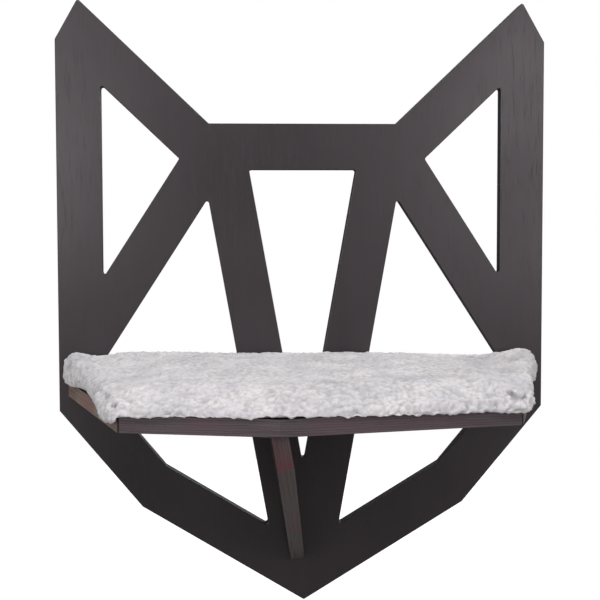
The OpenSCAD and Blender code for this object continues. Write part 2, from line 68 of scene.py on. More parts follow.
class Bench:
    """One node tree, with short ways to lay out nodes and join them."""

    def __init__(self, tree):
        self.tree = tree

    def put(self, kind, sockets=None, **settings):
        """A new node with its settings set and its sockets fed."""
        node = self.tree.nodes.new("ShaderNode" + kind)
        for name, value in settings.items():
            setattr(node, name, value)
        for name, value in (sockets or {}).items():
            self.feed(value, node.inputs[name])
        return node

    def feed(self, value, socket):
        """Joins another socket to this one, or sets its value."""
        if isinstance(value, bpy.types.NodeSocket):
            self.tree.links.new(value, socket)
        else:
            socket.default_value = value

    def maths(self, operation, a, b=0.0):
        return self.put("Math", {0: a, 1: b}, operation=operation).outputs[0]

    def vector(self, operation, a, b=(0, 0, 0)):
        node = self.put("VectorMath", {0: a, 1: b}, operation=operation)
        return node.outputs["Value" if operation in ("DOT_PRODUCT", "LENGTH") else "Vector"]

    def between(self, share, a, b):
        """A colour between a and b."""
        node = self.put("Mix", data_type="RGBA", clamp_factor=True)
        self.feed(share, node.inputs[0])
        self.feed(a, node.inputs[6])
        self.feed(b, node.inputs[7])
        return node.outputs[2]

    def span(self, value, low, high, to_low=0.0, to_high=1.0):
        """value's place from low to high, as a number from to_low to to_high."""
        node = self.put("MapRange", {0: value, 1: low, 2: high, 3: to_low, 4: to_high})
        return node.outputs[0]

    def stretched(self, vector, scale):
        return self.put("Mapping", {"Vector": vector, "Scale": scale}).outputs["Vector"]

    def cloudy(self, vector, scale, detail=3.0, roughness=0.55, distortion=0.0):
        settings = {"Scale": scale, "Detail": detail, "Roughness": roughness, "Distortion": distortion}
        return self.put("TexNoise", {"Vector": vector, **settings}).outputs["Fac"]

    def placed(self):
        return self.put("TexCoord").outputs["Object"]

    def bump(self, height, strength, distance):
        node = self.put("Bump", {"Height": height, "Strength": strength, "Distance": distance})
        return node.outputs["Normal"]


def pattern_group(name, inputs):
    """An empty node group for a pattern, its bench and its two ends. It takes
    a Position and the inputs, and gives a colour, a roughness and a height."""
    tree = bpy.data.node_groups.new(name, "ShaderNodeTree")
    for label, kind, value in [("Position", "Vector", (0, 0, 0)), *inputs]:
        socket = tree.interface.new_socket(label, in_out="INPUT", socket_type="NodeSocket" + kind)
        socket.default_value = value
    for label, kind in (("Colour", "Color"), ("Roughness", "Float"), ("Height", "Float")):
        tree.interface.new_socket(label, in_out="OUTPUT", socket_type="NodeSocket" + kind)
    start = tree.nodes.new("NodeGroupInput").outputs
    end = tree.nodes.new("NodeGroupOutput").inputs
    return tree, Bench(tree), start, end


def finish_on(name, group, values, shader, bump=None, painted=None):
    """A material: one group of pattern nodes feeding a Principled shader.
    bump is the relief's strength and depth, and painted names the point
    attribute that the group's Depth is read from."""
    material = bpy.data.materials.new(name)
    material.use_nodes = True
    bench = Bench(material.node_tree)
    principled = material.node_tree.nodes["Principled BSDF"]
    for socket, value in shader.items():
        principled.inputs[socket].default_value = value
    pattern = bench.put("Group")
    pattern.node_tree = group
    bench.feed(bench.placed(), pattern.inputs["Position"])
    if painted:
        depth = bench.put("Attribute", attribute_name=painted).outputs["Fac"]
        bench.feed(depth, pattern.inputs["Depth"])
    for socket, value in values.items():
        pattern.inputs[socket].default_value = value
    bench.feed(pattern.outputs["Colour"], principled.inputs["Base Color"])
    bench.feed(pattern.outputs["Roughness"], principled.inputs["Roughness"])
    if bump:
        bench.feed(bench.bump(pattern.outputs["Height"], *bump), principled.inputs["Normal"])
    return material


def colour(red, green, blue):
    """A colour given as it looks on a screen, 0 to 255."""

    def linear(value):
        value /= 255
        return value / 12.92 if value <= 0.04045 else ((value + 0.055) / 1.055) ** 2.4

    return (linear(red), linear(green), linear(blue), 1)


# Patterns


def stained_grain_group():
    """Open birch grain under a dark stain. Stretch is how the grain runs."""
    tree, bench, start, end = pattern_group(
        "stained grain",
        [
            ("Stretch", "Vector", (1, 1, 1)),
            ("Stain", "Color", (0.03, 0.03, 0.03, 1)),
            ("Thin Stain", "Color", (0.06, 0.06, 0.06, 1)),
            ("Base Roughness", "Float", 0.5),
        ],
    )
    run = bench.vector("MULTIPLY", start["Position"], start["Stretch"])
    drift = bench.cloudy(run, scale=2.2, detail=3, roughness=0.5, distortion=0.6)
    figure = bench.cloudy(run, scale=9, detail=5, roughness=0.62, distortion=1.1)
    pores = bench.cloudy(bench.vector("MULTIPLY", run, (6, 6, 6)), scale=14, detail=2, roughness=0.7)
    mottle = bench.cloudy(start["Position"], scale=7, detail=2, roughness=0.5)
    fine = bench.span(figure, 0.38, 0.72, 0.0, 0.55)
    broad = bench.span(drift, 0.3, 0.75, 0.0, 0.45)
    shade = bench.between(bench.maths("ADD", fine, broad), start["Stain"], start["Thin Stain"])
    open_pore = bench.span(pores, 0.56, 0.7)
    dark = bench.between(bench.maths("MULTIPLY", open_pore, 0.35), shade, (0.006, 0.005, 0.006, 1))
    bench.feed(dark, end["Colour"])
    rough = bench.maths("ADD", start["Base Roughness"], bench.span(mottle, 0.3, 0.7, -0.05, 0.06))
    bench.feed(bench.maths("ADD", rough, bench.maths("MULTIPLY", open_pore, 0.12)), end["Roughness"])
    bench.feed(bench.maths("SUBTRACT", bench.maths("MULTIPLY", figure, 0.4), open_pore), end["Height"])
    return tree


def ply_layers_group():
    """The sawn edge of stained plywood: thin plies with glue lines between."""
    tree, bench, start, end = pattern_group(
        "ply layers",
        [
            ("Through", "Vector", (0, 0, 1)),
            ("Start", "Float", 0.0),
            ("Plies", "Float", PLIES),
            ("Ply", "Color", (0.05, 0.04, 0.04, 1)),
            ("End Ply", "Color", (0.08, 0.07, 0.07, 1)),
            ("Blush", "Color", (0.1, 0.04, 0.04, 1)),
            ("Blush Amount", "Float", 0.3),
            ("Glue", "Color", (0.01, 0.01, 0.01, 1)),
            ("Glue Lines", "Float", 0.6),
        ],
    )
    place = bench.vector("DOT_PRODUCT", start["Position"], start["Through"])
    depth = bench.maths("SUBTRACT", place, start["Start"])
    wobble = bench.cloudy(start["Position"], scale=24, detail=2, roughness=0.5)
    level = bench.maths("MULTIPLY", bench.maths("DIVIDE", depth, BOARD_T), start["Plies"])
    layer = bench.maths("ADD", level, bench.span(wobble, 0.3, 0.7, -0.22, 0.22))
    number = bench.maths("FLOOR", layer)
    odd = bench.maths("MODULO", bench.maths("ABSOLUTE", number), 2.0)
    apart = bench.maths("PINGPONG", bench.maths("FRACT", layer), 0.5)
    seam = bench.maths("SUBTRACT", 1.0, bench.span(apart, 0.02, 0.16))
    shift = bench.maths("MULTIPLY", layer, 0.9)
    spread = bench.put("CombineXYZ", {0: shift, 1: number, 2: layer}).outputs[0]
    along = bench.vector("ADD", bench.vector("MULTIPLY", start["Position"], (12, 12, 12)), spread)
    streak = bench.cloudy(along, scale=1.6, detail=5, roughness=0.62, distortion=0.4)
    specks = bench.cloudy(start["Position"], scale=800, detail=2, roughness=0.6)
    patch = bench.cloudy(start["Position"], scale=16, detail=2, roughness=0.5)
    shade = bench.between(bench.maths("MULTIPLY", odd, 0.7), start["Ply"], start["End Ply"])
    shade = bench.between(bench.span(streak, 0.45, 0.7, 0.0, 0.7), shade, start["Glue"])
    grain_ends = bench.maths("MULTIPLY", odd, bench.span(specks, 0.5, 0.75, 0.0, 0.35))
    shade = bench.between(grain_ends, shade, start["Glue"])
    flush = bench.maths("MULTIPLY", bench.span(patch, 0.42, 0.6), start["Blush Amount"])
    shade = bench.between(flush, shade, start["Blush"])
    shade = bench.between(bench.maths("MULTIPLY", seam, start["Glue Lines"]), shade, start["Glue"])
    bench.feed(shade, end["Colour"])
    bench.feed(bench.maths("ADD", 0.6, bench.maths("MULTIPLY", odd, 0.12)), end["Roughness"])
    bench.feed(bench.maths("SUBTRACT", bench.maths("MULTIPLY", streak, -0.5), seam), end["Height"])
    return tree


def fleece_pile_group():
    """Short curled pile, light at the tips of its clumps. Shade is painted down between the clumps and
    the fibres, and where the Depth is large. Depth is how deep a place lies in the pile, 0 at the
    tips."""
    tree, bench, start, end = pattern_group(
        "fleece pile",
        [
            ("Depth", "Float", 0.3),
            ("Tips", "Color", (0.8, 0.8, 0.8, 1)),
            ("Root Shade", "Color", (0.4, 0.4, 0.4, 1)),
            ("Cool", "Color", (0.7, 0.7, 0.75, 1)),
        ],
    )
    curl = bench.cloudy(start["Position"], scale=160, detail=2, roughness=0.5)
    swirl = bench.put(
        "CombineXYZ",
        {
            0: bench.maths("MULTIPLY", curl, 0.006),
            1: bench.maths("MULTIPLY", curl, -0.004),
            2: bench.maths("MULTIPLY", curl, 0.005),
        },
    )
    bent = bench.vector("ADD", start["Position"], swirl.outputs[0])
    cells = bench.put("TexVoronoi", {"Vector": bent, "Scale": 330.0}, feature="SMOOTH_F1")
    clumps = cells.outputs["Distance"]
    fibres = bench.cloudy(bent, scale=1500, detail=3, roughness=0.7)
    tone = bench.cloudy(start["Position"], scale=26, detail=3, roughness=0.55)
    shade = bench.between(bench.span(tone, 0.4, 0.62), start["Tips"], start["Cool"])
    shade = bench.between(bench.span(clumps, 0.35, 0.8, 0.0, 0.35), shade, start["Root Shade"])
    shade = bench.between(bench.span(fibres, 0.5, 0.78, 0.0, 0.3), shade, start["Root Shade"])
    shade = bench.between(bench.span(start["Depth"], 0.4, 1.0, 0.0, 0.75), shade, start["Root Shade"])
    bench.feed(shade, end["Colour"])
    bench.feed(bench.span(fibres, 0.3, 0.7, 0.88, 1.0), end["Roughness"])
    hairs = bench.maths("MULTIPLY", fibres, 0.7)
    bench.feed(bench.maths("ADD", bench.maths("MULTIPLY", clumps, -1.0), hairs), end["Height"])
    return tree


def plated_steel_group():
    """Bright zinc: faint handling marks, fine scratches and duller patches."""
    tree, bench, start, end = pattern_group(
        "plated steel",
        [
            ("Bright", "Color", (0.62, 0.63, 0.65, 1)),
            ("Dull", "Color", (0.42, 0.43, 0.45, 1)),
            ("Base Roughness", "Float", 0.28),
        ],
    )
    patch = bench.cloudy(start["Position"], scale=90, detail=3, roughness=0.6)
    drawn = bench.stretched(start["Position"], (1.0, 0.06, 1.0))
    scratch = bench.cloudy(drawn, scale=1500, detail=2, roughness=0.6)
    grime = bench.span(patch, 0.4, 0.7)
    bench.feed(bench.between(grime, start["Bright"], start["Dull"]), end["Colour"])
    rough = bench.maths("ADD", start["Base Roughness"], bench.maths("MULTIPLY", grime, 0.18))
    bench.feed(bench.maths("ADD", rough, bench.span(scratch, 0.4, 0.7, -0.04, 0.08)), end["Roughness"])
    bench.feed(scratch, end["Height"])
    return tree


def woven_group():
    """A plain weave of warp and weft threads, with a little lint."""
    tree, bench, start, end = pattern_group(
        "plain weave",
        [
            ("Threads", "Float", 900.0),
            ("Thread", "Color", (0.1, 0.1, 0.1, 1)),
            ("Shadow", "Color", (0.03, 0.03, 0.03, 1)),
            ("Fuzz", "Float", 0.3),
        ],
    )
    split = bench.put("SeparateXYZ", {0: start["Position"]}).outputs
    turn = bench.maths("MULTIPLY", start["Threads"], 2 * math.pi)
    warp = bench.maths("SINE", bench.maths("MULTIPLY", split[0], turn))
    weft = bench.maths("SINE", bench.maths("MULTIPLY", split[1], turn))
    weave = bench.maths("MULTIPLY", warp, weft)
    lint = bench.cloudy(start["Position"], scale=700, detail=3, roughness=0.7)
    fuzz = bench.maths("MULTIPLY", lint, start["Fuzz"])
    height = bench.maths("ADD", bench.maths("MULTIPLY", weave, 0.5), fuzz)
    lit = bench.span(height, -0.5, 0.7)
    bench.feed(bench.between(lit, start["Shadow"], start["Thread"]), end["Colour"])
    bench.feed(bench.span(lint, 0.3, 0.7, 0.8, 0.98), end["Roughness"])
    bench.feed(height, end["Height"])
    return tree


def raw_grain_group():
    """Bare beech or foam: pale, with short dark flecks."""
    tree, bench, start, end = pattern_group(
        "raw stock",
        [
            ("Stretch", "Vector", (1, 1, 1)),
            ("Pale", "Color", (0.6, 0.45, 0.3, 1)),
            ("Fleck", "Color", (0.35, 0.22, 0.12, 1)),
            ("Fleck Size", "Float", 300.0),
        ],
    )
    run = bench.vector("MULTIPLY", start["Position"], start["Stretch"])
    specks = bench.put("TexNoise", {"Vector": run, "Scale": start["Fleck Size"], "Detail": 4.0})
    fleck = specks.outputs["Fac"]
    tone = bench.cloudy(start["Position"], scale=35, detail=3, roughness=0.5)
    shade = bench.between(bench.span(fleck, 0.52, 0.7, 0.0, 0.8), start["Pale"], start["Fleck"])
    darker = bench.span(tone, 0.35, 0.7, 0.0, 0.3)
    bench.feed(bench.between(darker, shade, start["Fleck"]), end["Colour"])
    bench.feed(bench.span(fleck, 0.3, 0.7, 0.6, 0.85), end["Roughness"])
    bench.feed(fleck, end["Height"])
    return tree


STAINED_GRAIN = stained_grain_group()
PLY_LAYERS = ply_layers_group()
FLEECE_PILE = fleece_pile_group()
PLATED_STEEL = plated_steel_group()
WOVEN = woven_group()
RAW_STOCK = raw_grain_group()

# Finishes

GRAIN_UP = (9, 9, 0.5)
GRAIN_ACROSS = (0.5, 9, 9)
GRAIN_OUT = (9, 0.5, 9)
PURPLISH_SHINE = (1.0, 0.92, 0.96, 1)
GLUE_LINE = colour(30, 26, 27)
PILE_SHADE = "pile_shade"
# How the plies lie in each board: the way through it, and where they start
FRAME_PLIES = ((0, 1, 0), FRAME_FRONT)
SHELF_PLIES = ((0, 0, 1), SHELF_UNDER)
GUSSET_PLIES = (GUSSET_NORMAL, LEG_AT_SHELF.dot(GUSSET_NORMAL) - BOARD_T / 2)


def stained_face(name, stretch, stain, thin, roughness=0.34, gloss=0.6):
    return finish_on(
        name,
        STAINED_GRAIN,
        {"Stretch": stretch, "Stain": stain, "Thin Stain": thin, "Base Roughness": roughness},
        {"Specular IOR Level": gloss, "Specular Tint": PURPLISH_SHINE},
        bump=(0.09, 0.2 * MM),
    )


def stained_edge(name, plies, colours, blush_amount, glue_lines):
    """A sawn edge. Its three colours are the plies, every other ply and the
    reddish patches."""
    through, start = plies
    ply, end_ply, blush = [colour(*shade) for shade in colours]
    return finish_on(
        name,
        PLY_LAYERS,
        {
            "Through": through,
            "Start": start,
            "Ply": ply,
            "End Ply": end_ply,
            "Blush": blush,
            "Blush Amount": blush_amount,
            "Glue": GLUE_LINE,
            "Glue Lines": glue_lines,
        },
        {"Specular IOR Level": 0.3},
        bump=(0.5, 0.3 * MM),
    )


FRAME_FACE = stained_face("frame face", GRAIN_UP, colour(39, 34, 36), colour(45, 39, 42))
SHELF_FACE = stained_face("shelf face", GRAIN_ACROSS, colour(44, 36, 40), colour(53, 44, 48))
# Painted shade: the gusset's faces are stained darker than the frame's, standing in for the shadow
# they lie in under the shelf
GUSSET_FACE_PAINTED_SHADE = stained_face(
    "gusset face painted shade", GRAIN_OUT, colour(28, 25, 26), colour(34, 30, 31), roughness=0.7, gloss=0.1
)
# Painted shade: the shelf's eased arrises are stained near black, standing in for the thin lines of
# shade along its corners and rims
ARRIS_PAINTED_SHADE = stained_face("arris painted shade", GRAIN_ACROSS, colour(18, 15, 16), colour(24, 20, 21))
FRAME_EDGE = stained_edge(
    "frame edge",
    FRAME_PLIES,
    ((26, 24, 25), (34, 31, 32), (44, 33, 33)),
    blush_amount=0.3,
    glue_lines=0.6,
)
SHELF_EDGE = stained_edge(
    "shelf edge",
    SHELF_PLIES,
    ((90, 77, 82), (87, 81, 83), (92, 72, 80)),
    blush_amount=0.6,
    glue_lines=0.35,
)
# Painted shade: the shelf's right front edge is stained darker than the left one, standing in for the
# shade it takes as it turns away from the light
SHELF_RIGHT_EDGE_PAINTED_SHADE = stained_edge(
    "shelf right edge painted shade",
    SHELF_PLIES,
    ((84, 73, 77), (81, 76, 78), (90, 70, 77)),
    blush_amount=0.6,
    glue_lines=0.35,
)
# Painted light: the shelf's side edges are stained far paler than its front edges, standing in for the
# light they catch from the side
SHELF_SIDE_EDGE_PAINTED_LIGHT = stained_edge(
    "shelf side edge painted light",
    SHELF_PLIES,
    ((158, 140, 126), (146, 142, 132), (138, 104, 98)),
    blush_amount=0.8,
    glue_lines=0.6,
)
GUSSET_EDGE = stained_edge(
    "gusset slant",
    GUSSET_PLIES,
    ((80, 71, 71), (88, 82, 83), (86, 60, 62)),
    blush_amount=0.7,
    glue_lines=0.3,
)
GUSSET_LIP_EDGE = stained_edge(
    "gusset lip",
    GUSSET_PLIES,
    ((74, 58, 61), (68, 60, 62), (84, 40, 44)),
    blush_amount=0.95,
    glue_lines=0.25,
)
ZINC = finish_on(
    "bright zinc",
    PLATED_STEEL,
    {"Base Roughness": 0.26},
    {"Metallic": 1.0},
    bump=(0.15, 0.05 * MM),
)
DULL_ZINC = finish_on(
    "pressed zinc plate",
    PLATED_STEEL,
    {"Base Roughness": 0.38, "Bright": (0.52, 0.53, 0.55, 1), "Dull": (0.36, 0.37, 0.39, 1)},
    {"Metallic": 1.0},
    bump=(0.2, 0.05 * MM),
)
BEECH = finish_on(
    "beech dowel",
    RAW_STOCK,
    {
        "Stretch": (1, 0.08, 1),
        "Pale": colour(214, 178, 132),
        "Fleck": colour(166, 120, 78),
        "Fleck Size": 700.0,
    },
    {},
    bump=(0.3, 0.2 * MM),
)
FOAM = finish_on(
    "open-cell foam",
    RAW_STOCK,
    {"Pale": colour(240, 236, 222), "Fleck": colour(205, 198, 180), "Fleck Size": 1400.0},
    {},
    bump=(0.6, 0.6 * MM),
)
HOOK_TAPE = finish_on(
    "hook tape",
    WOVEN,
    {"Threads": 500.0, "Thread": colour(52, 52, 54), "Shadow": colour(18, 18, 19), "Fuzz": 0.2},
    {},
    bump=(0.8, 0.5 * MM),
)
LOOP_TAPE = finish_on(
    "loop tape",
    WOVEN,
    {"Threads": 350.0, "Thread": colour(58, 58, 60), "Shadow": colour(26, 26, 27), "Fuzz": 1.2},
    {},
    bump=(0.8, 0.5 * MM),
)
BASE_CLOTH = finish_on(
    "base cloth",
    WOVEN,
    {"Threads": 800.0, "Thread": colour(150, 149, 154), "Shadow": colour(96, 95, 100), "Fuzz": 0.4},
    {},
    bump=(0.5, 0.3 * MM),
)
FLEECE = finish_on(
    "silver fleece",
    FLEECE_PILE,
    {"Tips": colour(230, 225, 226), "Root Shade": colour(138, 135, 139), "Cool": colour(213, 209, 214)},
    {"Specular IOR Level": 0.12, "Sheen Weight": 0.25, "Sheen Roughness": 0.6},
    bump=(0.6, 1.2 * MM),
    painted=PILE_SHADE,
)


def finish_with(obj, *materials):
    """Gives an object its materials. Clearing none would reset which face
    wears which, so only a full list is cleared."""
    if len(obj.data.materials):
        obj.data.materials.clear()
    for material in materials:
        obj.data.materials.append(material)


for name, material in (
    ("shelf_bolts", ZINC),
    ("gusset_bolts", ZINC),
    ("shelf_barrel_nuts", DULL_ZINC),
    ("gusset_barrel_nuts", DULL_ZINC),
    ("gusset_top_screws", ZINC),
    ("hanger_plates", DULL_ZINC),
    ("hanger_screws", ZINC),
    ("shelf_dowels", BEECH),
    ("gusset_dowel", BEECH),
    ("shelf_hook_tapes", HOOK_TAPE),
    ("pad_loop_tapes", LOOP_TAPE),
    ("pad_base_cloth", BASE_CLOTH),
    ("pad_foam", FOAM),
):
    finish_with(cad[name], material)

# Boards


def new_piece(name, bm):
    """A finished mesh piece from a bmesh, in place in the row's frame."""
    mesh = bpy.data.meshes.new(name)
    bm.to_mesh(mesh)
    bm.free()
    piece = bpy.data.objects.new(name, mesh)
    bpy.context.scene.collection.objects.link(piece)
    return piece


# Points of the solids that lie together are joined, and flat triangles made whole
SAME_PLACE = 0.002 * MM
FLAT_WITHIN = math.radians(0.5)
# Sandpaper's rounding, which leaves the rims of small holes sharp
SMALL_HOLE = 60 * MM
RIM_EASE = 0.7 * MM
CORNER_EASE = 1.2 * MM
AT_CORNER = 2 * MM
# A face looks a way when its normal goes more than this along it
BROADSIDE = 0.9
SIDEWAYS = 0.8
RIGHTWARD = 0.1


def long_rims(edges, least):
    """Those of the edges that belong to a closed rim wider than least."""
    left = set(edges)
    kept = []
    while left:
        rim = [left.pop()]
        for edge in rim:
            for vert in edge.verts:
                for other in vert.link_edges:
                    if other in left:
                        left.discard(other)
                        rim.append(other)
        points = [vert.co for edge in rim for vert in edge.verts]
        reach = max((p - points[0]).length for p in points)
        if reach > least:
            kept += rim
    return kept


def eased_board(node, name, normal, face, edge, other_edges=(), arris=None, corners=()):
    """The board's node with its long arrises and its outer corners, named by
    their places across, eased by sandpaper. Broad faces wear one finish, sawn
    edges another, and other_edges are pairs of a test and its finish."""
    bm = bmesh.new()
    bm.from_mesh(cad[node].data)
    bmesh.ops.remove_doubles(bm, verts=bm.verts, dist=SAME_PLACE)
    bmesh.ops.dissolve_limit(bm, angle_limit=FLAT_WITHIN, verts=bm.verts, edges=bm.edges)
    normal = Vector(normal).normalized()

    def broad(f):
        return abs(f.normal.dot(normal)) > BROADSIDE

    def at_corner(e):
        return any(max(abs(v.co.x - across) for v in e.verts) < AT_CORNER for across in corners)

    for f in bm.faces:
        f.material_index = 0 if broad(f) else 1
        for k, (turned_so, _) in enumerate(other_edges):
            if f.material_index == 1 and turned_so(f.normal):
                f.material_index = 2 + k
    uprights = [e for e in bm.edges if at_corner(e) and not any(broad(f) for f in e.link_faces)]
    rims = [e for e in bm.edges if [broad(f) for f in e.link_faces] in ([True, False], [False, True])]
    for lines, ease in ((uprights, CORNER_EASE), (long_rims(rims, SMALL_HOLE), RIM_EASE)):
        lines = [e for e in lines if e.is_valid]
        bmesh.ops.bevel(
            bm,
            geom=lines,
            offset=ease,
            segments=2,
            profile=0.5,
            affect="EDGES",
            material=2 + len(other_edges) if arris else -1,
            clamp_overlap=True,
        )
    piece = new_piece(name, bm)
    finish_with(piece, face, edge, *[finish for _, finish in other_edges])
    if arris:
        piece.data.materials.append(arris)
    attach(piece, "wall_frame")
    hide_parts(node)


eased_board("frame_board", "stained_frame", (0, 1, 0), FRAME_FACE, FRAME_EDGE)
eased_board(
    "shelf_board",
    "stained_shelf",
    (0, 0, 1),
    SHELF_FACE,
    SHELF_EDGE,
    other_edges=(
        (lambda n: abs(n.x) > SIDEWAYS, SHELF_SIDE_EDGE_PAINTED_LIGHT),
        (lambda n: n.x > RIGHTWARD, SHELF_RIGHT_EDGE_PAINTED_SHADE),
    ),
    arris=ARRIS_PAINTED_SHADE,
    corners=(SHELF_CORNERS[1][0] * MM, SHELF_CORNERS[3][0] * MM),
)
eased_board(
    "gusset",
    "stained_gusset",
    GUSSET_NORMAL,
    GUSSET_FACE_PAINTED_SHADE,
    GUSSET_EDGE,
    other_edges=((lambda n: n.y < -BROADSIDE, GUSSET_LIP_EDGE),),
)

# Fleece pad

# The pad's edge, seen from above: across and out from the frame, from its back
# left corner round the front
PAD_EDGE = (
    (-227, 3), (-239, 7), (-243.5, 14), (-243, 26), (-236, 46), (-227, 64), (-219, 82),
    (-213, 101), (-208, 122), (-203, 146), (-198, 171), (-193, 196), (-188.5, 218), (-184.5, 233),
    (-178, 240), (-168, 242), (-140, 248.5), (-105, 256.5), (-70, 265.5), (-37, 273), (0, 265),
    (50, 254), (100, 243), (150, 231.5), (176, 229), (184, 223), (188, 214), (190, 200),
    (195, 178), (201, 155), (206, 132), (209.5, 112), (215, 90), (225, 68), (232, 49),
    (238, 28), (239, 15), (235, 7), (224, 3), (120, 4), (0, 5), (-120, 4),
)  # fmt: skip
# How high the rim stands at the back, by how far across
BACK_RIM = (
    (-245, 29), (-232, 32.5), (-222, 30.5), (-210, 26.5), (-200, 28.5), (-187, 31),
    (-162, 32), (-60, 30), (60, 30), (150, 26), (184, 25), (196, 27.5), (212, 30),
    (225, 32.5), (232, 31), (245, 26),
)  # fmt: skip
# How far the rim hangs over the shelf's edge, by how far across: first along
# the front, then down the left side and the right side by how far out
FRONT_HANG = (
    (-186, 8), (-178, 7.5), (-173, 5.6), (-169, 5), (-120, 5.6),
    (-37, 7.8), (60, 5.8), (110, 6.2), (150, 6), (180, 5.8),
)  # fmt: skip
LEFT_HANG = ((20, 0), (45, 1.2), (100, 0.6), (140, 2), (180, 4), (215, 9), (240, 8))
RIGHT_HANG = ((120, 0), (170, 2), (215, 3.5), (225, 4.2))
# Folds pressed into the pile at the front corners: across, out and up
FOLDS = (
    ((-176, 233, 8.4), (-171, 239, 9.2), (-168.5, 239, 9)),
    ((163.5, 221, 14), (167.3, 225, 11.3), (171, 224, 9.4), (176.3, 224, 9), (182, 223, 8.7)),
)
FOLD_W = 1.7 * MM
FOLD_DEPTH = 3.6 * MM
FOLD_SHADE = 0.9
# The pile ends in small tufts along its lowest edge, full where it hangs enough
TUFTS_PER_M = 230
TUFT_DROP = 1.6 * MM
TUFTS_FULL = 2 * MM
# The rim starts to hang between these distances outside the shelf's edge, and
# hangs less at its top than at its foot
HANG_START = (0.6 * MM, 3 * MM)
HANG_HIGH = 14 * MM
TOP_HANG_LESS = 0.6
# Where the pad's foot and its base lie, and how far it reaches out
PAD_FLOOR = SHELF_TOP + 0.4 * MM
PAD_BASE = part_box("pad_base_cloth")[0].z + 0.4 * MM
PAD_REACH = 262 * MM
# The slab that it starts from, its roundings and the hollow for the base cloth
SLAB_H = 20 * MM
TOP_ROUND = 9 * MM
FOOT_ROUND = 5 * MM
BASE_INSET = 8 * MM
# How high it stands in front, and at least over the foam, from this far in
FRONT_RIM_H = 12.5 * MM
FOAM_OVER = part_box("pad_foam")[1].z - SHELF_TOP + 5 * MM
FOAM_FROM = (4 * MM, 18 * MM)
# The soft valley inside the rim, which sways, and the crown within it
VALLEY_IN = 25 * MM
VALLEY_W = 9 * MM
VALLEY_DEPTH = 4.5 * MM
SWAYS_PER_M = 14
SWAY_MEAN = 0.75
SWAY_REACH = 0.6
CROWN_H = 3 * MM
CROWN_FROM = (40 * MM, 110 * MM)
# The stuffing: the slab starts smaller by the slack and swells no further than
# the cap. Its foot is held, and its valley from partway up
PAD_SLACK = 2.2 * MM
PAD_SWELL = 5 * MM
PAD_VOXEL = 3.4 * MM
FOOT_HELD = 2 * MM
VALLEY_HELD = (0.6, 0.9)
PRESSURE = 4
STEPS = 20
# The pile: patterns by name, kind, size and rise, and the depth over which painted shade grows in its
# hollows
NAP = (
    ("billows", "CLOUDS", 26 * MM, 2.4 * MM),
    ("curls", "VORONOI", 5 * MM, -2.9 * MM),
    ("locks", "CLOUDS", 2.6 * MM, 2.8 * MM),
)
PILE_DEEP = 3.4 * MM
# The pile is pressed flatter where it looks up. There is none where the pad looks
# down, and over the board it grows from nothing at the foot
PRESSED_FLAT = 0.3
LOOKS_UP = (0.5, 0.95)
LOOKS_DOWN = -0.5
OVER_BOARD = 2 * MM
PILE_STARTS = 4 * MM


def on_shelf(across, out, up=0.0):
    """A place in mm: across, out from the frame and up from the pad's foot."""
    return Vector((across * MM, FRAME_FRONT - out * MM, PAD_FLOOR + up * MM))


def read_off(table, place):
    """The table's value at a place, in metres."""
    x = place / MM
    for (x0, y0), (x1, y1) in zip(table, table[1:]):
        if x <= x1:
            share = min(max((x - x0) / (x1 - x0), 0), 1)
            return (y0 + (y1 - y0) * share) * MM
    return table[-1][1] * MM


def eased(value, low, high):
    """0 below low, 1 above high, smooth between."""
    share = min(max((value - low) / (high - low), 0), 1)
    return share * share * (3 - 2 * share)


def bell(distance, width):
    """1 at no distance, falling to 0 within about twice the width."""
    return math.exp(-((distance / width) ** 2))


def dotted(line, step, closed=False):
    """A tree of close points along a line drawn on the shelf."""
    stops = [on_shelf(*place) for place in line]
    if closed:
        stops.append(stops[0])
    points = []
    for a, b in zip(stops, stops[1:]):
        count = max(1, math.ceil((b - a).length / step))
        points += [a.lerp(b, k / count) for k in range(count)]
    points.append(stops[-1])
    tree = KDTree(len(points))
    for k, point in enumerate(points):
        tree.insert(point, k)
    tree.balance()
    return tree


def off_line(tree, co):
    """How far a place is from a line drawn on the shelf, seen from above."""
    return tree.find((co.x, co.y, PAD_FLOOR))[2]


def beyond_edges(co):
    """How far a place lies outside each of the shelf's edges in turn: left,
    front left, front right and right. Less than 0 is inside."""
    stops = [on_shelf(*place) for place in SHELF_CORNERS]
    outside = []
    for a, b in zip(stops, stops[1:]):
        along = (b - a).normalized()
        outside.append((co.x - a.x) * along.y - (co.y - a.y) * along.x)
    return outside


